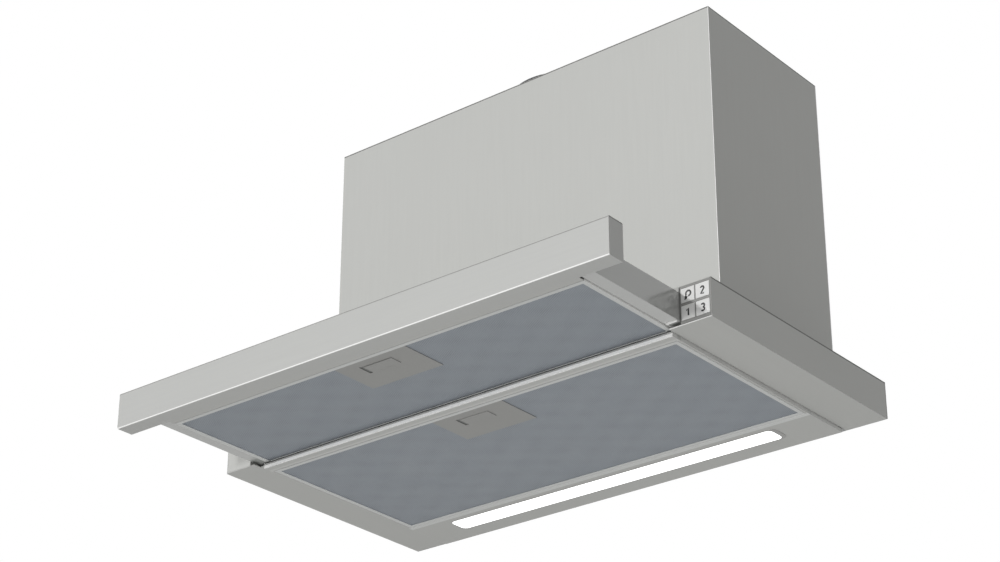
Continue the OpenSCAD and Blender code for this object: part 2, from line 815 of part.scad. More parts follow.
// two layers of mesh, held by the frame's groove; the lower one is cut out round the latch
module filter_mesh(x, depth) {
    low = [-x + rim_w - mesh_edge, rim_w - mesh_edge, 0];
    size = [2 * (x - rim_w + mesh_edge), depth - 2 * (rim_w - mesh_edge), mesh_t];
    color(mesh_grey) {
        difference() {
            translate(low + [0, 0, frame_lip + latch_gap]) cube(size);
            slab([-case_x - fit_gap, -1, -1], [case_x + fit_gap, rim_w + case_d + fit_gap, filter_t / 2]);
        }
        translate(low + [0, 0, filter_t - frame_lip - mesh_t - latch_gap]) cube(size);
    }
}

module latch_plate() {
    v = rim_w;
    link_y = v + handle_set + link_set;
    top = filter_t - frame_lip - mesh_t - 2 * latch_gap;
    color(zinc) difference() {
        union() {
            slab([-latch_plate_w / 2, v + 0.1, frame_lip - latch_plate_t + latch_gap],
                [latch_plate_w / 2, v + latch_plate_d, frame_lip + latch_gap]);
            slab([-case_x, v + 0.1, frame_lip], [case_x, v + case_d, top]);
        }
        slab([-case_x + case_wall, v - 1, frame_lip + latch_gap],
            [case_x - case_wall, v + case_d - case_wall, filter_t]);
        slab([-link_x - fit_gap, link_y - fit_gap, -1],
            [link_x + fit_gap, link_y + link_d + latch_travel + fit_gap, 2]);
        slab([-handle_w / 2 - latch_gap - finger_w, v + handle_set - 1, -1],
            [-handle_w / 2 - latch_gap, v + handle_set + handle_d + 1, 2]);
    }
}

module latch() {
    v = rim_w + handle_set;
    z_handle = frame_lip - latch_plate_t;
    color(zinc) {
        slab([-handle_w / 2, v, z_handle - handle_t], [handle_w / 2, v + handle_d, z_handle]);
        slab([-link_x, v + link_set, z_handle - handle_t], [link_x, v + link_set + link_d, latch_z + 0.5]);
        slab([-slider_x, rim_w + 1, latch_z], [slider_x, slider_end, latch_z + tongue_t]);
        slab([-tongue_w / 2, -seam - tongue_reach, latch_z], [tongue_w / 2, rim_w + 2, latch_z + tongue_t]);
    }
}

// one section across the spring's wire, at angle a round the coil
function coil_ring(centre, a, r) = [for (k = [0:coil_sides - 1]) let (b = 360 * k / coil_sides)
    centre + r * [cos(b) * cos(a), sin(b), cos(b) * sin(a)]];

// coil between the latch and the rear wall of its case
module latch_spring() {
    y0 = slider_end + fit_gap;
    y1 = rim_w + case_d - case_wall - fit_gap;
    n = coil_sides;
    steps = spring_turns * coil_steps;
    turn = 360 / coil_steps;
    coil_r = (spring_d - spring_wire) / 2;
    pitch = (y1 - y0 - spring_wire) / steps;
    start = [0, y0 + spring_wire / 2, latch_z + spring_d / 2];
    points = [for (i = [0:steps]) each coil_ring(
        start + [coil_r * cos(turn * i), pitch * i, coil_r * sin(turn * i)], turn * i, spring_wire / 2)];
    sides = [for (i = [0:steps - 1], k = [0:n - 1]) let (a = i * n, b = (k + 1) % n) each
        [[a + k, a + b, a + n + k], [a + b, a + n + b, a + n + k]]];
    ends = [for (k = [1:n - 2]) each [[0, k + 1, k], [steps * n, steps * n + k, steps * n + k + 1]]];
    color(zinc) polyhedron(points, concat(sides, ends));
}

module front_filter_frame() {
    at_front_filter() filter_frame(front_filter_x, y_filter_end - y_filter);
}

module rear_filter_frame() {
    at_rear_filter() filter_frame(filter_x, rear_filter_d);
}

module front_filter_mesh() {
    at_front_filter() filter_mesh(front_filter_x, y_filter_end - y_filter);
}

module rear_filter_mesh() {
    at_rear_filter() filter_mesh(filter_x, rear_filter_d);
}

// ---- casing ----

module casing_wrap() {
    x = casing_w / 2;
    y = casing_d / 2;
    color(satin) difference() {
        slab([-x, -y, 0], [x, y - sheet_t, z_casing]);
        slab([-x + sheet_t, -y + sheet_t, sheet_t], [x - sheet_t, y, z_casing - 2 * sheet_t]);
        slab([-intake_x, -intake_y, -1], [intake_x, y, z_casing + 1]);
        slab([-x + sheet_t, -y + sheet_t, z_casing - sheet_t], [x - sheet_t, y, z_casing + 1]);
        slab([-x + sheet_t, y - flange_w - sheet_t, -1], [x - sheet_t, y, z_casing - sheet_t - top_flange_h]);
        for (p = top_screws) translate([p[0], p[1], z_casing - over])
            cylinder(r = screw_r + rivet_gap, h = 2 * over);
    }
}

module casing_back() {
    x = casing_w / 2;
    y = casing_d / 2;
    color(satin_dark) {
        slab([-x, y - sheet_t, 0], [x, y, z_casing]);
        slab([-intake_x, intake_y, 0], [intake_x, y, sheet_t]);
    }
}

module casing_top() {
    x = casing_w / 2 - sheet_t - 0.1;
    y = casing_d / 2 - sheet_t - 0.1;
    color(satin) difference() {
        slab([-x, -y, z_casing - sheet_t], [x, y, z_casing]);
        translate([0, collar_y, z_casing - over]) cylinder(r = collar_in, h = 2 * over, $fn = 96);
        translate([gland_x, gland_y, z_casing - over]) cylinder(r = gland_r + 0.1, h = 2 * over);
        for (p = top_screws) translate([p[0], p[1], z_casing - over])
            cylinder(r = screw_r + rivet_gap, h = 2 * over);
        for (p = collar_screws) translate([p[0], p[1], z_casing - over])
            cylinder(r = screw_r + rivet_gap, h = 2 * over);
    }
}

module casing_screws() {
    color(zinc) {
        for (p = top_screws) translate([p[0], p[1], z_casing]) screw(4);
        for (p = collar_screws) translate([p[0], p[1], z_casing + flange_t]) screw(4);
    }
}

// ---- outlet ----

module outlet_collar() {
    color(dark_plastic) difference() {
        translate([0, collar_y, 0]) rotate_extrude($fn = 96) {
            translate([collar_in, z_casing]) square([collar_t, collar_h]);
            translate([collar_in, z_casing]) square([collar_flange_r - collar_in, flange_t]);
            translate([collar_in - 3.5, z_ledge]) square([4, flange_t]);
        }
        for (s = [-1, 1]) translate([-collar_r - 1, collar_y + s * flap_offset, flap_z]) rotate([0, 90, 0])
            cylinder(r = flap_pin_r + running_gap, h = 2 * collar_r + 2);
        for (p = collar_screws) translate([p[0], p[1], z_casing - 1])
            cylinder(r = screw_r + rivet_gap, h = flange_t + 2);
    }
}

// half-round non-return flap with its hinge pin; side -1 is the front one
module flap(side) {
    pin_half = sqrt(collar_r * collar_r - flap_offset * flap_offset) - 0.2;
    color(dark_plastic) translate([0, collar_y, flap_z]) {
        intersection() {
            translate([0, 0, -flap_t / 2]) cylinder(r = flap_r, h = flap_t, $fn = 96);
            slab([-collar_r, side < 0 ? -collar_r : flap_offset, -5],
                [collar_r, side < 0 ? -flap_offset : collar_r, 5]);
        }
        translate([-pin_half, side * flap_offset, 0]) rotate([0, 90, 0])
            cylinder(r = flap_pin_r, h = 2 * pin_half);
    }
}

module cable_gland() {
    color(dark_plastic) translate([gland_x, gland_y, z_casing]) difference() {
        union() {
            cylinder(r = gland_r + gland_rim, h = 2);
            translate([0, 0, 2 - gland_l]) cylinder(r = gland_r, h = gland_l);
            translate([0, 0, -sheet_t - nut_h]) cylinder(r = gland_r + gland_rim, h = nut_h, $fn = 6);
        }
        translate([0, 0, -gland_l]) cylinder(r = gland_bore_r, h = 2 * gland_l);
    }
}

// ---- fan ----

module fan_housing(side) {
    lip_y = throat_half + scroll_t + housing_lip;
    color(dark_plastic) on_side(side) difference() {
        union() {
            along_x(0) linear_extrude(housing_x) polygon(housing_outline(scroll_t));
            slab([0, collar_y - lip_y, z_casing - sheet_t - scroll_t],
                [housing_x + housing_lip, collar_y + lip_y, z_casing - sheet_t]);
            at_fan(housing_x) cylinder(r = inlet_r + inlet_wall, h = inlet_lip);
        }
        along_x(-1) linear_extrude(scroll_w / 2 + 1) housing_room();
        at_fan(0) cylinder(r = inlet_r, h = housing_x + 2 * inlet_lip);
    }
}

module housing_room() {
    polygon(housing_outline(0));
    translate([collar_y - throat_half, z_casing - 4 * over]) square([2 * throat_half, 8 * over]);
}

module at_fan(x) {
    translate([x, fan_y, fan_z]) rotate([0, 90, 0]) children();
}

module fan_wheel() {
    color(dark_plastic) {
        at_fan(-1) difference() {
            union() {
                cylinder(r = wheel_r - 1, h = web_t);
                translate([0, 0, -web_t]) cylinder(r = hub_r, h = 8 * web_t);
            }
            translate([0, 0, -over]) cylinder(r = shaft_r + 0.02, h = 6 * over);
        }
        for (end = [-1, 1]) at_fan(end * (wheel_w - ring_t) / 2 - ring_t / 2) difference() {
            cylinder(r = wheel_r, h = ring_t);
            translate([0, 0, -1]) cylinder(r = wheel_r - ring_w, h = ring_t + 2);
        }
        at_fan((1 - wheel_w) / 2) linear_extrude(wheel_w - 1) for (i = [0:blade_count - 1])
            rotate(i * 360 / blade_count) translate([blade_r, 0]) rotate(blade_tilt)
                square(blade, center = true);
    }
}

module motor() {
    color(zinc) difference() {
        union() {
            at_fan(motor_end - motor_l) cylinder(r = motor_r, h = motor_l);
            at_fan(motor_end) cylinder(r = hub_r, h = boss_l);
            at_fan(motor_end - motor_l - foot_l) cylinder(r = foot_r, h = foot_l);
        }
        at_fan(shaft_end - lift_gap) cylinder(r = shaft_r + running_gap, h = motor_l);
    }
}

module motor_shaft() {
    color(zinc) at_fan(shaft_end) cylinder(r = shaft_r, h = motor_l + hub_r);
}

module motor_bracket() {
    color(zinc) {
        at_fan(x_bracket - arm_t) {
            for (a = [0:120:240]) rotate(a + 180) translate([0, -arm_w / 2, 0])
                cube([mount_r + arm_w / 2, arm_w, arm_t]);
            cylinder(r = foot_r, h = arm_t);
        }
        at_fan(x_bracket) cylinder(r = post_r, h = motor_end - motor_l - foot_l - x_bracket);
    }
}

module rubber_mounts() {
    color(black_rubber) for (a = [0:120:240]) at_fan(x_bracket) rotate(a + 180)
        translate([mount_r, 0, 0]) cylinder(r = rubber_r, h = mount_l + inlet_lip);
}

module capacitor() {
    color(button_white) translate([housing_x, collar_y, z_box]) rotate([0, 90, 0]) {
        cylinder(r = capacitor_r, h = capacitor_l);
        translate([0, 0, capacitor_l]) cylinder(r = 0.8 * capacitor_r, h = 2);
    }
}

// electronics box on the fan housing, with the cable's hole in its top
module control_box() {
    room = box_half - box_wall;
    color(button_white) translate([-housing_x, collar_y, z_box]) difference() {
        slab([-box_d, -box_half, -box_half], [0, box_half, box_half]);
        slab([-box_d + box_wall, -room, -room], [-lid_t, room, room]);
        translate([-box_d / 2, box_half / 2, room - over]) cylinder(r = gland_bore_r + 1, h = 2 * over);
    }
}

side_panel(-1);  // side_panel_left
side_panel(1);  // side_panel_right
top_plate();
back_panel();
underside_panel();
front_blank();
button_bezel();
switch_board();
button(0, 1);  // light_button
button(0, 0);  // speed_button_1
button(1, 1);  // speed_button_2
button(1, 0);  // speed_button_3
light_cover();
light_housing();
light_board();
body_rivets();
runner_bracket(-1);  // runner_bracket_left
runner_bracket(1);  // runner_bracket_right
fixed_runner(-1);  // fixed_runner_left
fixed_runner(1);  // fixed_runner_right
ball_cages();
runner_balls();
drawer_runner(-1);  // drawer_runner_left
drawer_runner(1);  // drawer_runner_right
front_bar();
bar_cap(-1);  // bar_cap_left
bar_cap(1);  // bar_cap_right
drawer_side(-1);  // drawer_side_left
drawer_side(1);  // drawer_side_right
drawer_cover();
drawer_front_rail();
drawer_rear_rail();
drawer_screws();
front_filter_frame();
front_filter_mesh();
at_front_filter() latch_plate();  // front_latch_plate
at_front_filter() latch();  // front_latch
at_front_filter() latch_spring();  // front_latch_spring
rear_filter_frame();
rear_filter_mesh();
at_rear_filter() latch_plate();  // rear_latch_plate
at_rear_filter() latch();  // rear_latch
at_rear_filter() latch_spring();  // rear_latch_spring
casing_wrap();
casing_back();
casing_top();
casing_screws();
outlet_collar();
flap(-1);  // front_flap
flap(1);  // rear_flap
fan_housing(-1);  // fan_housing_left
fan_housing(1);  // fan_housing_right
fan_wheel();
motor();
motor_shaft();
motor_bracket();
rubber_mounts();
capacitor();
control_box();
cable_gland();
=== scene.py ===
import math

import bmesh
import bpy
from mathutils import Matrix, Vector


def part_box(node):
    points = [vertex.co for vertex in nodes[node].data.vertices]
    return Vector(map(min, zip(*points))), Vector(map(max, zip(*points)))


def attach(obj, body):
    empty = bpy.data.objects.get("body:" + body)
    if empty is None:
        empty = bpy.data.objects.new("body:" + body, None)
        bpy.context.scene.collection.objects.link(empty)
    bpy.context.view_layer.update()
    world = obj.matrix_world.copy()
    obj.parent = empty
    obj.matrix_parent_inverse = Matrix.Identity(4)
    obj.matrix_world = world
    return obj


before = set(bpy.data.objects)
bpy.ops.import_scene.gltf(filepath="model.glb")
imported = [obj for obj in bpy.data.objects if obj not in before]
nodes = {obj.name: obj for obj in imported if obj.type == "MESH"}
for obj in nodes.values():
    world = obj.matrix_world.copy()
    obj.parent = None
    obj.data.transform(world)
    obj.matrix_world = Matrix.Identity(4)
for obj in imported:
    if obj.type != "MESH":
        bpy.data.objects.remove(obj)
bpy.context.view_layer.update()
print("frame loaded:", len(nodes), "nodes")

scene = bpy.context.scene
mm = 0.001


def newFinish(name, colour, rough=0.5, metal=0.0, gloss=0.5):
    mat = bpy.data.materials.new(name)
    mat.use_nodes = True
    shader = mat.node_tree.nodes["Principled BSDF"]
    shader.inputs["Base Color"].default_value = (*colour, 1)
    shader.inputs["Roughness"].default_value = rough
    shader.inputs["Metallic"].default_value = metal
    shader.inputs["Specular IOR Level"].default_value = gloss
    return mat, mat.node_tree, shader


def place(tree, stretch=(1, 1, 1)):
    coords = tree.nodes.new("ShaderNodeTexCoord")
    mapping = tree.nodes.new("ShaderNodeMapping")
    mapping.inputs["Scale"].default_value = stretch
    tree.links.new(coords.outputs["Object"], mapping.inputs["Vector"])
    return mapping.outputs["Vector"]


def grain(tree, vector, scale, detail=3.0, rough=0.55):
    noise = tree.nodes.new("ShaderNodeTexNoise")
    noise.inputs["Scale"].default_value = scale
    noise.inputs["Detail"].default_value = detail
    noise.inputs["Roughness"].default_value = rough
    tree.links.new(vector, noise.inputs["Vector"])
    return noise.outputs["Fac"]


def span(tree, value, low, high, fromLow=0.3, fromHigh=0.7):
    node = tree.nodes.new("ShaderNodeMapRange")
    node.inputs["From Min"].default_value = fromLow
    node.inputs["From Max"].default_value = fromHigh
    node.inputs["To Min"].default_value = low
    node.inputs["To Max"].default_value = high
    tree.links.new(value, node.inputs["Value"])
    return node.outputs["Result"]


def sums(tree, kind, a, b=None):
    node = tree.nodes.new("ShaderNodeMath")
    node.operation = kind
    for socket, value in zip(node.inputs, (a, b)):
        if isinstance(value, (int, float)):
            socket.default_value = value
        elif value is not None:
            tree.links.new(value, socket)
    return node.outputs[0]


def tone(tree, colourA, colourB, factor):
    node = tree.nodes.new("ShaderNodeMix")
    node.data_type = "RGBA"
    for socket, colour in ((node.inputs[6], colourA), (node.inputs[7], colourB)):
        if hasattr(colour, "is_linked"):
            tree.links.new(colour, socket)
        else:
            socket.default_value = (*colour, 1)
    if isinstance(factor, (int, float)):
        node.inputs[0].default_value = factor
    else:
        tree.links.new(factor, node.inputs[0])
    return node.outputs[2]


def dent(tree, shader, height, strength, depth):
    node = tree.nodes.new("ShaderNodeBump")
    node.inputs["Strength"].default_value = strength
    node.inputs["Distance"].default_value = depth
    tree.links.new(height, node.inputs["Height"])
    tree.links.new(node.outputs["Normal"], shader.inputs["Normal"])


def shade(colour, k):
    return tuple(min(1.0, c * k) for c in colour)


# the three coordinates on the object, in metres at rest
def xyz(tree):
    coords = tree.nodes.new("ShaderNodeTexCoord")
    split = tree.nodes.new("ShaderNodeSeparateXYZ")
    tree.links.new(coords.outputs["Object"], split.inputs[0])
    return split.outputs


# how far the surface faces a direction, from the object's own normals
def facing(tree, towards):
    coords = tree.nodes.new("ShaderNodeTexCoord")
    dot = tree.nodes.new("ShaderNodeVectorMath")
    dot.operation = "DOT_PRODUCT"
    dot.inputs[1].default_value = Vector(towards).normalized()
    tree.links.new(coords.outputs["Normal"], dot.inputs[0])
    return dot.outputs["Value"]


fades = dict(side=0.2, end=0.3, height=0.2)  # how softly a band's borders run out, in millimetres


# tints the stretches along folded edges: each band is an axis, two places along it and a colour,
# and may end further along or be kept below a height
def banded(tree, body, bands):
    x, y, z = xyz(tree)
    for band in bands:
        at = {"X": x, "Y": y, "Z": z}[band["axis"]]
        along = span(tree, at, 0, 1, band["start"], band["full"])
        if "until" in band:
            kept = span(tree, at, 1, 0, band["until"], band["until"] + fades["end"] * mm)
            along = sums(tree, "MULTIPLY", along, kept)
        if "below" in band:
            under = span(tree, z, 0, 1, band["below"] + fades["height"] * mm, band["below"])
            along = sums(tree, "MULTIPLY", along, under)
        body = tone(tree, body, band["colour"], along)
    return body


# satin sheet steel: fine drawn grain and faint clouds; where given, faces turned to either side get a painted
# lighter or darker tone as light and shade, bands tint stretches along edges, and edges facing forward and
# down get a painted highlight
def satinSteel(name, colour, rough, metal, stretch, grainScale=700, contrast=0.018, clouds=0.015,
               bands=(), rim=None, gloss=0.25, flank=None):
    mat, tree, shader = newFinish(name, colour, rough, metal, gloss)
    fine = grain(tree, place(tree, stretch), grainScale, 4, 0.6)
    cloud = grain(tree, place(tree), 6, 3)
    speck = grain(tree, place(tree), 2600, 2)
    body = tone(tree, shade(colour, 1 - contrast), shade(colour, 1 + contrast), span(tree, fine, 0, 1))
    body = tone(tree, body, shade(colour, 1 - clouds), span(tree, cloud, 0, 0.6))
    # painted light and shade: faces turned to either side take the flank colour
    if flank:
        sideways = sums(tree, "ABSOLUTE", facing(tree, (1, 0, 0)))
        body = tone(tree, body, flank, span(tree, sideways, 0, 1, 0.6, 0.9))
    body = banded(tree, body, bands)
    # painted highlight: edges that face forward and down take the rim colour
    if rim:
        body = tone(tree, body, rim, span(tree, facing(tree, (0, -1, -1)), 0, 1, 0.80, 0.93))
    tree.links.new(body, shader.inputs["Base Color"])
    tree.links.new(span(tree, sums(tree, "ADD", fine, sums(tree, "MULTIPLY", cloud, 0.6)),
                        rough - 0.04, rough + 0.05, 0.5, 1.1), shader.inputs["Roughness"])
    dent(tree, shader, sums(tree, "ADD", fine, sums(tree, "MULTIPLY", speck, 0.5)), 0.06, 0.00010)
    return mat


# rolled sheet edge: painted light and shade by which way it faces, brighter facing forwards and duller facing
# back or up, with faint specks
def rolledEdge(name, look):
    mat, tree, shader = newFinish(name, look["plain"], look["rough"], look["metal"])
    speck = grain(tree, place(tree), 900, 3)
    body = tone(tree, look["plain"], look["bright"], span(tree, facing(tree, (0, -1, 0)), 0, 1, 0.25, 0.75))
    body = tone(tree, body, look["dull"], span(tree, facing(tree, (0, 1, 0)), 0, 1, 0.25, 0.75))
    body = tone(tree, body, look["dull"], span(tree, facing(tree, (0, 0, 1)), 0, 1, 0.25, 0.75))
    body = tone(tree, body, look["plain"], span(tree, speck, 0, 0.25))
    # painted highlight: a lip facing forward and down takes the lip colour
    if "lip" in look:
        body = tone(tree, body, look["lip"], span(tree, facing(tree, (0, -1, -1)), 0, 1, 0.75, 0.9))
    tree.links.new(body, shader.inputs["Base Color"])
    tree.links.new(span(tree, speck, look["rough"] - 0.05, look["rough"] + 0.1), shader.inputs["Roughness"])
    dent(tree, shader, speck, 0.08, 0.00005)
    return mat


# moulded plastic, rubber or ink: faint specks and clouds
def moulded(name, colour, rough, speckScale=1400, strength=0.25):
    mat, tree, shader = newFinish(name, colour, rough)
    speck = grain(tree, place(tree), speckScale, 2)
    cloud = grain(tree, place(tree), 18, 3)
    tree.links.new(tone(tree, shade(colour, 0.95), shade(colour, 1.05), span(tree, cloud, 0, 1)),
                   shader.inputs["Base Color"])
    tree.links.new(span(tree, speck, rough - 0.06, rough + 0.08), shader.inputs["Roughness"])
    dent(tree, shader, speck, strength, 0.00006)
    return mat


# zinc plate: spangled crystals and rolling lines
def zincPlate(name, colour, rough, bands=()):
    mat, tree, shader = newFinish(name, colour, rough, 0.85)
    cells = tree.nodes.new("ShaderNodeTexVoronoi")
    cells.inputs["Scale"].default_value = 260
    tree.links.new(place(tree), cells.inputs["Vector"])
    lines = grain(tree, place(tree, (60, 900, 900)), 1, 3)
    pick = tree.nodes.new("ShaderNodeSeparateColor")
    tree.links.new(cells.outputs["Color"], pick.inputs[0])
    body = tone(tree, shade(colour, 0.86), shade(colour, 1.1), pick.outputs[0])
    tree.links.new(banded(tree, body, bands), shader.inputs["Base Color"])
    tree.links.new(span(tree, pick.outputs[1], rough - 0.08, rough + 0.1, 0, 1), shader.inputs["Roughness"])
    dent(tree, shader, lines, 0.12, 0.00008)
    return mat


# aluminium grease mesh: crossed strands over a second, offset layer; the lower layer and the gaps between
# strands are painted darker as shade
def greaseMesh(name, look):
    mat, tree, shader = newFinish(name, look["strand"], look["rough"], look["metal"])
    x, y, z = xyz(tree)

    def strands(scaleX, scaleY, shift):
        u = sums(tree, "DIVIDE", sums(tree, "ADD", x, shift * mm), look["cellX"] * scaleX * mm)
        v = sums(tree, "DIVIDE", sums(tree, "ADD", y, shift * mm), look["cellY"] * scaleY * mm)
        ridges = []
        for kind in ("ADD", "SUBTRACT"):
            across = sums(tree, "MULTIPLY", sums(tree, kind, u, v), math.pi)
            ridges.append(sums(tree, "ABSOLUTE", sums(tree, "COSINE", across)))
        return span(tree, sums(tree, "MAXIMUM", ridges[0], ridges[1]), 0, 1, *look["ridge"])

    top = strands(1, 1, 0.0)
    under = strands(*look["underLayer"])
    cloud = grain(tree, place(tree), 26, 4)
    # painted shade: the gaps and the lower layer are darker than the top strands
    deep = tone(tree, look["hole"], look["under"], under)
    body = tone(tree, deep, look["strand"], top)
    body = tone(tree, body, look["under"], span(tree, cloud, 0, look["cloud"]))
    tree.links.new(body, shader.inputs["Base Color"])
    height = sums(tree, "ADD", top, sums(tree, "MULTIPLY", under, 0.4))
    dent(tree, shader, height, look["bump"], 0.00025)
    tree.links.new(span(tree, cloud, look["rough"] - 0.06, look["rough"] + 0.08), shader.inputs["Roughness"])
    return mat


# opal cover, lit from behind
def glowing(name, look):
    mat, tree, shader = newFinish(name, look["colour"], look["rough"])
    cloud = grain(tree, place(tree), 40, 2)
    tree.links.new(tone(tree, look["dim"], look["pale"], span(tree, cloud, 0, 1)),
                   shader.inputs["Base Color"])
    shader.inputs["Emission Color"].default_value = (*look["light"], 1)
    shader.inputs["Emission Strength"].default_value = look["strength"]
    dent(tree, shader, grain(tree, place(tree), 1800, 2), 0.1, 0.00005)
    return mat


# green circuit board: copper tracks under lacquer
def lacqueredBoard(name, look):
    mat, tree, shader = newFinish(name, look["colour"], look["rough"])
    cells = tree.nodes.new("ShaderNodeTexVoronoi")
    cells.distance = "MANHATTAN"
    cells.feature = "DISTANCE_TO_EDGE"
    cells.inputs["Scale"].default_value = 320
    tree.links.new(place(tree), cells.inputs["Vector"])
    track = span(tree, cells.outputs["Distance"], 1, 0, 0.02, 0.08)
    tree.links.new(tone(tree, look["lacquer"], look["track"], track), shader.inputs["Base Color"])
    dent(tree, shader, track, 0.2, 0.00005)
    return mat


def edgeOf(axis, node, side):
    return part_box(node)[0 if side == "low" else 1]["XYZ".index(axis)]


# a narrow dark or bright line along a sheet's folded edge, all over it or up to a height on the node
def edgeBand(axis, node, side, width, colour, height=None):
    edge = edgeOf(axis, node, side)
    inwards = 1 if side == "low" else -1
    band = dict(axis=axis, colour=colour, start=edge + inwards * width * mm,
                full=edge + inwards * (width - fades["side"]) * mm)
    if height:
        band["below"] = edgeOf("Z", node, "low") + height * mm
    return band


# a stripe that runs from side to side: where it starts, is full and ends, in millimetres behind an edge
def stripe(node, side, start, full, until, colour):
    edge = edgeOf("Y", node, side)
    return dict(axis="Y", colour=colour, start=edge + start * mm, full=edge + full * mm,
                until=edge + until * mm)


# edge colours: bright is a painted highlight along lit lower edges, while dull and dark make edges darker
hems = dict(dark=(0.14, 0.14, 0.135), dull=(0.27, 0.27, 0.26), bright=(0.90, 0.90, 0.89))
# the painted shade colour and the metal that all the rolled edges share
edgeShadeAndMetal = dict(dull=(0.17, 0.17, 0.165), metal=0.2)  # what all the rolled edges share
steel = dict(colour=(0.473, 0.477, 0.461), rough=0.50, metal=0.10)
finishes = {
    "casingSteel": satinSteel("casingSteel", stretch=(0.5, 0.5, 0.02), **steel, bands=[
        edgeBand("Z", "casing_wrap", "high", 1.7, hems["dark"])]),
    "bodySteel": satinSteel("bodySteel", stretch=(0.02, 0.5, 0.5), **steel),
    "leftSteel": satinSteel("leftSteel", stretch=(0.5, 0.02, 0.5), **steel, bands=[
        edgeBand("Y", "side_panel_left", "high", 1.6, hems["dull"]),
        edgeBand("Z", "side_panel_left", "high", 1.6, hems["dark"])]),
    "rightSteel": satinSteel("rightSteel", stretch=(0.5, 0.02, 0.5), **steel, bands=[
        # painted highlight: a bright line along the right strip's lower front edge
        edgeBand("Y", "side_panel_right", "low", 0.9, hems["bright"], height=2.0),
        edgeBand("Y", "side_panel_right", "high", 1.6, hems["dull"]),
        edgeBand("Z", "side_panel_right", "high", 1.6, hems["dark"])]),
    # painted light: the panel's sideways-facing walls take the lighter flank colour
    "panelSteel": satinSteel("panelSteel", stretch=(0.02, 0.5, 0.5), **steel, flank=(0.66, 0.66, 0.65),
                             bands=[
        stripe("underside_panel", "low", 6.2, 8.2, 12.8, (0.54, 0.545, 0.53)),
        stripe("light_cover", "low", -11.0, -10.6, -5.0, (0.60, 0.61, 0.60)),
        # painted shade on the upper part of the front lip's wall, with a painted highlight along its lower
        # front edge
        edgeBand("Y", "underside_panel", "low", 0.9, (0.40, 0.40, 0.39)),
        edgeBand("Y", "underside_panel", "low", 0.9, hems["bright"], height=3.1),
        edgeBand("Y", "underside_panel", "high", 0.9, hems["dull"])]),
    # painted shade: the drawer sides' sideways faces take the darker flank colour; painted highlight along
    # the right side's lowest edge
    "drawerSteel": satinSteel("drawerSteel", (0.55, 0.555, 0.545), 0.14, 0.15, (0.5, 0.02, 0.5), gloss=0.5,
                              flank=(0.40, 0.405, 0.395), bands=[
        edgeBand("Z", "drawer_side_right", "low", 1.8, hems["bright"])]),
    # painted highlight along the bar's lower front edge, from the rim colour
    "barMetal": satinSteel("barMetal", (0.463, 0.467, 0.455), 0.48, 0.10, (0.012, 0.5, 0.5),
                           grainScale=620, contrast=0.02, rim=hems["bright"], bands=[
        edgeBand("Z", "front_bar", "high", 1.5, hems["dull"])]),
    "backSteel": zincPlate("backSteel", (0.52, 0.53, 0.53), 0.42),
    "zincSteel": zincPlate("zincSteel", (0.58, 0.59, 0.60), 0.34),
    # painted light: the frames' sideways-facing walls take the lighter flank colour
    "filterFrame": satinSteel("filterFrame", (0.60, 0.61, 0.60), 0.40, 0.20, (0.02, 0.5, 0.5),
                              flank=(0.95, 0.95, 0.94)),
    "latchMetal": satinSteel("latchMetal", (0.33, 0.33, 0.32), 0.45, 0.20, (0.03, 0.5, 0.5)),
    "bezelPlastic": moulded("bezelPlastic", (0.30, 0.30, 0.29), 0.45),
    "buttonPlastic": moulded("buttonPlastic", (0.87, 0.87, 0.86), 0.32, speckScale=1900, strength=0.12),
    "legendInk": moulded("legendInk", (0.03, 0.03, 0.032), 0.5, speckScale=2400, strength=0.1),
    "darkPlastic": moulded("darkPlastic", (0.035, 0.035, 0.038), 0.48),
    "whitePlastic": moulded("whitePlastic", (0.68, 0.68, 0.66), 0.42),
    # painted shade: the seal's grey stands in for the shade in the seam round the lamp
    "gasket": moulded("gasket", (0.36, 0.36, 0.35), 0.5, speckScale=1500, strength=0.2),
    # painted shade: these two floors' greys stand in for the shade inside the finger slots and the drawer's
    # pocket
    "slotShadeFloor": satinSteel("slotShadeFloor", (0.20, 0.205, 0.20), 0.5, 0.1, (0.02, 0.5, 0.5)),
    "pocketShadeFloor": satinSteel("pocketShadeFloor", (0.35, 0.365, 0.35), 0.5, 0.1, (0.02, 0.5, 0.5)),
    "rubber": moulded("rubber", (0.02, 0.02, 0.02), 0.75, speckScale=900, strength=0.4),
    "circuitBoard": lacqueredBoard("circuitBoard", dict(
        colour=(0.05, 0.22, 0.10), lacquer=(0.03, 0.15, 0.07), track=(0.12, 0.34, 0.15), rough=0.35)),
    "lampCover": glowing("lampCover", dict(
        colour=(0.9, 0.9, 0.88), dim=(0.86, 0.87, 0.86), pale=(0.93, 0.93, 0.91), rough=0.35,
        light=(1.0, 1.0, 1.0), strength=1.6)),
    # the three edge finishes below paint light and shade by which way the edge faces
    "rolledEdge": rolledEdge("rolledEdge", dict(
        edgeShadeAndMetal, plain=(0.50, 0.50, 0.49), bright=hems["bright"], rough=0.36)),
    "plainEdge": rolledEdge("plainEdge", dict(
        edgeShadeAndMetal, plain=(0.36, 0.36, 0.35), bright=(0.44, 0.44, 0.43), rough=0.40)),
    "lippedEdge": rolledEdge("lippedEdge", dict(
        edgeShadeAndMetal, plain=(0.36, 0.36, 0.35), bright=(0.30, 0.30, 0.29), lip=hems["bright"], rough=0.40)),
    "greaseMesh": greaseMesh("greaseMesh", dict(
        strand=(0.325, 0.355, 0.39), under=(0.27, 0.295, 0.325), hole=(0.18, 0.195, 0.215),
        cellX=3.8, cellY=2.2, ridge=(0.72, 0.98), underLayer=(0.93, 1.06, 1.1),
        rough=0.46, metal=0.30, bump=0.28, cloud=0.35)),
}
print("finishes made:", len(finishes))

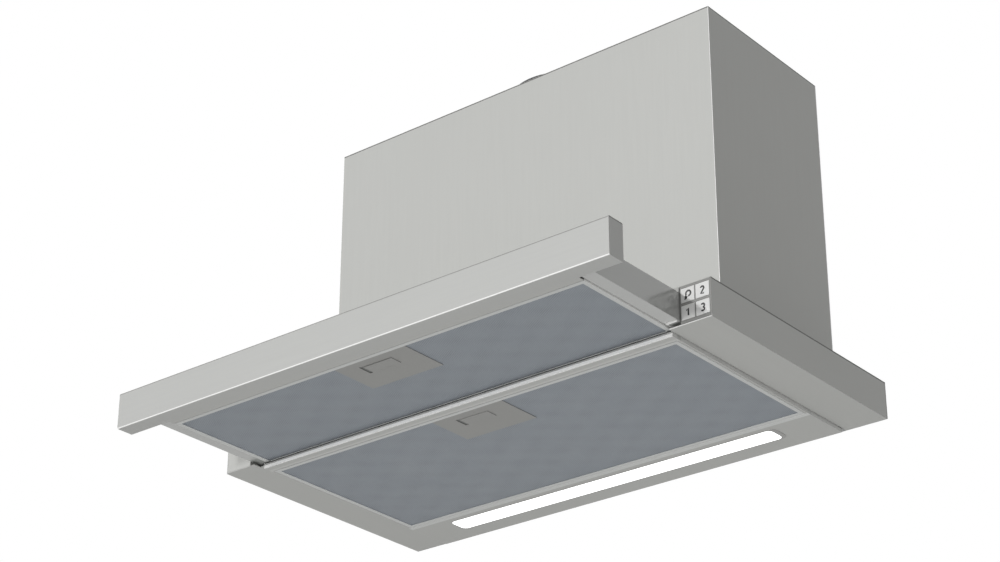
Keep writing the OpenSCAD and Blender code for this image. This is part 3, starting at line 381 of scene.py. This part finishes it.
softEdges = dict(weld=0.004, segments=2, angle=40)  # millimetres, steps round an edge, degrees


def soften(obj, width, ownFinish):
    weld = obj.modifiers.new("weld", "WELD")
    weld.merge_threshold = softEdges["weld"] * mm
    soft = obj.modifiers.new("soft edges", "BEVEL")
    soft.width = width * mm
    soft.segments = softEdges["segments"]
    soft.limit_method = "ANGLE"
    soft.angle_limit = math.radians(softEdges["angle"])
    if ownFinish:
        soft.material = 1  # the second slot holds the edge's finish
    obj.modifiers.new("even shading", "WEIGHTED_NORMAL")


# gives nodes a finish, an edge rounded by so many millimetres and, where named, a finish on that edge
def dress(names, finish, bevel=0.0, edge=None):
    for name in names.split():
        obj = nodes[name]
        obj.data.materials.clear()
        obj.data.materials.append(finishes[finish])
        if edge:
            obj.data.materials.append(finishes[edge])
        if bevel:
            soften(obj, bevel, edge)


dress("casing_wrap", "casingSteel", 0.45, "rolledEdge")
dress("casing_top", "bodySteel", 0.3)
dress("side_panel_left", "leftSteel", 0.4, "plainEdge")
dress("side_panel_right", "rightSteel", 0.4, "lippedEdge")
dress("top_plate", "bodySteel", 0.3)
dress("underside_panel", "panelSteel", 0.45, "rolledEdge")
dress("front_blank", "bodySteel", 0.3)
dress("drawer_side_left drawer_side_right", "drawerSteel", 0.3)
dress("drawer_cover drawer_front_rail drawer_rear_rail", "bodySteel", 0.25)
dress("front_bar bar_cap_left bar_cap_right", "barMetal")
dress("casing_back back_panel", "backSteel", 0.3)
dress("front_filter_frame rear_filter_frame", "filterFrame", 0.4)
dress("front_filter_mesh rear_filter_mesh", "greaseMesh")
dress("front_latch_plate rear_latch_plate front_latch rear_latch", "latchMetal", 0.12)
dress("button_bezel", "bezelPlastic", 0.15)
dress("light_button speed_button_1 speed_button_2 speed_button_3", "buttonPlastic", 0.5)
dress("switch_board light_board", "circuitBoard")
dress("light_cover", "lampCover")
dress("light_housing ball_cages outlet_collar front_flap rear_flap", "darkPlastic")
dress("fan_housing_left fan_housing_right fan_wheel cable_gland", "darkPlastic")
dress("body_rivets runner_bracket_left runner_bracket_right fixed_runner_left", "zincSteel")
dress("fixed_runner_right runner_balls drawer_runner_left drawer_runner_right", "zincSteel")
dress("drawer_screws casing_screws motor motor_shaft motor_bracket", "zincSteel")
dress("front_latch_spring rear_latch_spring", "zincSteel")
dress("rubber_mounts", "rubber")
dress("capacitor control_box", "whitePlastic")
print("frame nodes dressed")


def newPiece(name, mesh, finish, body):
    data = bpy.data.meshes.new(name)
    mesh.to_mesh(data)
    mesh.free()
    data.materials.append(finishes[finish])
    piece = bpy.data.objects.new(name, data)
    scene.collection.objects.link(piece)
    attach(piece, body)
    return piece


# joins four-cornered sections into one closed body
def closeRows(mesh, rows):
    for a, b in zip(rows, rows[1:]):
        for k in range(4):
            mesh.faces.new((a[k], a[(k + 1) % 4], b[(k + 1) % 4], b[k]))
    mesh.faces.new(rows[0])
    mesh.faces.new(rows[-1][::-1])


legends = dict(stroke=1.7, proud=0.05, height=6.8, bulb=8.0, bulbTilt=-35)  # millimetres and degrees


# a stroke of ink along a line of points on a button's face: x to the right, z up, in millimetres
def addStroke(mesh, centre, points):
    half = legends["stroke"] / 2 * mm
    rows = []
    for i, (x, z) in enumerate(points):
        ahead = points[min(i + 1, len(points) - 1)]
        behind = points[max(i - 1, 0)]
        along = Vector((ahead[0] - behind[0], 0, ahead[1] - behind[1])).normalized()
        across = Vector((-along.z, 0, along.x)) * half
        spot = centre + Vector((x * mm, 0, z * mm))
        up = Vector((0, -legends["proud"] * mm, 0))
        rows.append([mesh.verts.new(spot + shift) for shift in (across, across + up, -across + up, -across)])
    closeRows(mesh, rows)


def arcPoints(cx, cz, r, startDeg, endDeg, steps=12):
    turn = [math.radians(startDeg + (endDeg - startDeg) * i / steps) for i in range(steps + 1)]
    return [(cx + r * math.cos(a), cz + r * math.sin(a)) for a in turn]


# the lines of one legend, h high
def legendStrokes(kind, h):
    r = h / 4
    if kind == "1":
        return [[(-0.28 * h, 0.26 * h), (0.04 * h, 0.5 * h), (0.04 * h, -0.5 * h)]]
    if kind == "2":
        return [arcPoints(0, r, r, 165, -35) + [(-r, -0.5 * h), (1.05 * r, -0.5 * h)]]
    if kind == "3":
        return [arcPoints(0, r, r, 150, -90), arcPoints(0, -r, r, 90, -150)]
    # a bulb: round glass, neck and two base lines, leaning to one side
    lean = math.radians(legends["bulbTilt"])
    drawn = [arcPoints(0, 0.18 * h, 0.32 * h, -60, 240, 20) + [(-0.16 * h, -0.28 * h), (0.16 * h, -0.28 * h)],
             [(-0.16 * h, -0.42 * h), (0.16 * h, -0.42 * h)], [(-0.08 * h, -0.56 * h), (0.08 * h, -0.56 * h)]]
    return [[(x * math.cos(lean) - z * math.sin(lean), x * math.sin(lean) + z * math.cos(lean))
             for x, z in line] for line in drawn]


def buttonLegend(node, kind):
    low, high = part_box(node)
    centre = Vector(((low.x + high.x) / 2, low.y, (low.z + high.z) / 2))
    mesh = bmesh.new()
    for line in legendStrokes(kind, legends["bulb" if kind == "bulb" else "height"]):
        addStroke(mesh, centre, line)
    newPiece(node + "_legend", mesh, "legendInk", node)


buttonLegend("light_button", "bulb")
for number in "123":
    buttonLegend("speed_button_" + number, number)
print("legends drawn")

# in millimetres: its section, the rounding of its corners, and how far the right end is drawn in
gasket = dict(width=0.9, inner=0.5, thick=0.47, innerSlope=0.2, outerSlope=0.1, corner=6.0, cornerSteps=8,
              coverEdge=2.0, rightEnd=4.0)


# thin grey seal in the seam round the lamp's cover; its grey, darker than the panel, is painted shade in the
# seam
def lampGasket():
    low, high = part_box("light_cover")
    panel = edgeOf("Z", "underside_panel", "low")
    halfX = (high.x - low.x) / 2 - gasket["coverEdge"] * mm
    halfY = (high.y - low.y) / 2 - gasket["coverEdge"] * mm
    centre = Vector(((low.x + high.x) / 2, (low.y + high.y) / 2, panel))

    def ring(grow, drop, cut=0.0):
        r = (gasket["corner"] + grow) * mm
        points = []
        for sx, sy, start in ((1, 1, 0), (-1, 1, 90), (-1, -1, 180), (1, -1, 270)):
            cx = sx * (halfX - gasket["corner"] * mm) - (cut * mm if sx > 0 else 0)
            cy = sy * (halfY - gasket["corner"] * mm)
            for i in range(gasket["cornerSteps"] + 1):
                a = math.radians(start + 90 * i / gasket["cornerSteps"])
                points.append(centre + Vector((cx + r * math.cos(a), cy + r * math.sin(a), -drop * mm)))
        return points

    mesh = bmesh.new()
    inner, width, thick, cut = gasket["inner"], gasket["width"], gasket["thick"], gasket["rightEnd"]
    rows = [[mesh.verts.new(p) for p in ring(*row)] for row in (
        (-inner, 0, cut), (gasket["innerSlope"] - inner, thick, cut),
        (width - gasket["outerSlope"], thick), (width, 0))]
    count = len(rows[0])
    for a, b in zip(rows, rows[1:] + rows[:1]):
        for i in range(count):
            mesh.faces.new((a[i], a[(i + 1) % count], b[(i + 1) % count], b[i]))
    bmesh.ops.recalc_face_normals(mesh, faces=mesh.faces)
    newPiece("lamp_gasket", mesh, "gasket", "hood")


lampGasket()
print("lamp gasket laid")

recess = dict(thick=0.15, rib=0.12, ribs=5)  # millimetres, as in the two below
slot = dict(width=7.4, over=1.0, lift=0.82, gripDepth=0.2)
pocket = dict(width=13.2, wall=1.1, before=2.4, behind=7.9, lift=0.1)


# a thin ribbed plate from its low corner, the floor of a shallow recess seen from below, whose grey is
# painted shade for the inside of the recess
def recessShadeFloor(name, finish, low, wide, deep, body):
    high = low + Vector((wide, deep, recess["thick"] * mm))
    mesh = bmesh.new()
    count = recess["ribs"] * 2
    rows = []
    for i in range(count + 1):
        x = low.x + (high.x - low.x) * i / count
        z = low.z + (recess["rib"] * mm if i % 2 else 0)
        rows.append([mesh.verts.new(p) for p in (
            (x, low.y, z), (x, high.y, z), (x, high.y, high.z), (x, low.y, high.z))])
    closeRows(mesh, rows)
    bmesh.ops.recalc_face_normals(mesh, faces=mesh.faces)
    newPiece(name, mesh, finish, body)


# the slot for a finger lies at the left of each latch's handle; its floor's dark grey is painted shade
def fingerShadeFloor(side):
    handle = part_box(side + "_latch")[0]
    deepest = handle.z + slot["gripDepth"] * mm
    grip = [v.co.y for v in nodes[side + "_latch"].data.vertices if v.co.z < deepest]
    over = slot["over"] * mm
    low = Vector((handle.x - slot["width"] * mm, min(grip) - 2 * over,
                  edgeOf("Z", side + "_latch_plate", "low") + slot["lift"] * mm))
    recessShadeFloor(side + "_finger_shade_floor", "slotShadeFloor", low, slot["width"] * mm + over,
                max(grip) - min(grip) + 4 * over, side + "_filter")


# the pocket is in the flange of the drawer's left side, over the body's front edge; the grey plate in it is
# painted shade
def pocketShadeFloor():
    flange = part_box("drawer_side_left")[0]
    front = edgeOf("Y", "side_panel_left", "low")
    low = Vector((flange.x + pocket["wall"] * mm, front - pocket["before"] * mm,
                  flange.z + pocket["lift"] * mm))
    recessShadeFloor("pocket_shade_floor", "pocketShadeFloor", low, pocket["width"] * mm,
                (pocket["before"] + pocket["behind"]) * mm, "drawer")


fingerShadeFloor("front")
fingerShadeFloor("rear")
pocketShadeFloor()
print("recess floors laid")

camera = dict(spot=(1.33933, -1.77028, -0.93310), lens=85.410, sensor=36, near=0.05, far=60,
              right=(0.776049, 0.630671, 0.001697), down=(-0.278405, 0.344992, -0.896366),
              ahead=(-0.565897, 0.695151, 0.443312))
eye = bpy.data.objects.new("eye", bpy.data.cameras.new("eye"))
scene.collection.objects.link(eye)
turn = Matrix((camera["right"], [-c for c in camera["down"]], [-c for c in camera["ahead"]])).transposed()
eye.matrix_world = Matrix.Translation(camera["spot"]) @ turn.to_4x4()
eye.data.lens = camera["lens"]
eye.data.sensor_width = camera["sensor"]
eye.data.sensor_fit = "HORIZONTAL"
eye.data.clip_start = camera["near"]
eye.data.clip_end = camera["far"]
scene.camera = eye

# metres, and how bright the world lights the object
room = dict(floorDepth=-1.55, floorSize=16.0, floorColour=(0.86, 0.86, 0.85), level=0.365)


def plainFloor():
    mesh = bmesh.new()
    bmesh.ops.create_grid(mesh, x_segments=8, y_segments=8, size=room["floorSize"] / 2)
    data = bpy.data.meshes.new("floor")
    mesh.to_mesh(data)
    mesh.free()
    floor = bpy.data.objects.new("floor", data)
    floor.location = (0, 0, room["floorDepth"])
    scene.collection.objects.link(floor)
    mat, tree, shader = newFinish("paleFloor", room["floorColour"], 0.8)
    cloud = grain(tree, place(tree), 3, 3)
    tree.links.new(tone(tree, shade(room["floorColour"], 0.98), room["floorColour"], cloud),
                   shader.inputs["Base Color"])
    data.materials.append(mat)


plainFloor()

# the key comes from the left in front, a second from lower down, and the fill is a broad box below;
# a sun's size is in degrees and the fill's in metres
lights = [
    dict(name="key", kind="SUN", spot=(-0.75, -2.85, 0.71), target=(0, 0, 0), size=3, power=1.23),
    dict(name="low", kind="SUN", spot=(-0.30, -2.95, -0.12), target=(0, 0, 0), size=4, power=0.82),
    dict(name="fill", kind="AREA", spot=(0.10, -0.30, -1.45), target=(0.05, -0.15, -0.04), size=1.2,
         power=7.8),
]


def hangLight(look):
    lamp = bpy.data.objects.new(look["name"], bpy.data.lights.new(look["name"], look["kind"]))
    if look["kind"] == "SUN":
        lamp.data.angle = math.radians(look["size"])
    else:
        lamp.data.size = look["size"]
    lamp.data.energy = look["power"]
    lamp.location = look["spot"]
    away = Vector(look["spot"]) - Vector(look["target"])
    lamp.rotation_euler = away.to_track_quat("Z", "Y").to_euler()
    lamp.visible_camera = False
    scene.collection.objects.link(lamp)


for look in lights:
    hangLight(look)

# an even, faint world for the light; the camera, metal and glass see plain white
world = bpy.data.worlds.new("studio")
scene.world = world
world.use_nodes = True
sky = world.node_tree
sky.nodes.clear()
glow = sky.nodes.new("ShaderNodeBackground")
glow.inputs["Color"].default_value = (1, 1, 1, 1)
glow.inputs["Strength"].default_value = room["level"]
white = sky.nodes.new("ShaderNodeBackground")
white.inputs["Color"].default_value = (1, 1, 1, 1)
rays = sky.nodes.new("ShaderNodeLightPath")
seen = sums(sky, "MAXIMUM", rays.outputs["Is Camera Ray"], rays.outputs["Is Glossy Ray"])
seen = sums(sky, "MAXIMUM", seen, rays.outputs["Is Transmission Ray"])
choose = sky.nodes.new("ShaderNodeMixShader")
out = sky.nodes.new("ShaderNodeOutputWorld")
sky.links.new(seen, choose.inputs[0])
sky.links.new(glow.outputs[0], choose.inputs[1])
sky.links.new(white.outputs[0], choose.inputs[2])
sky.links.new(choose.outputs[0], out.inputs["Surface"])

scene.view_settings.view_transform = "Standard"
print("camera, floor and light placed")
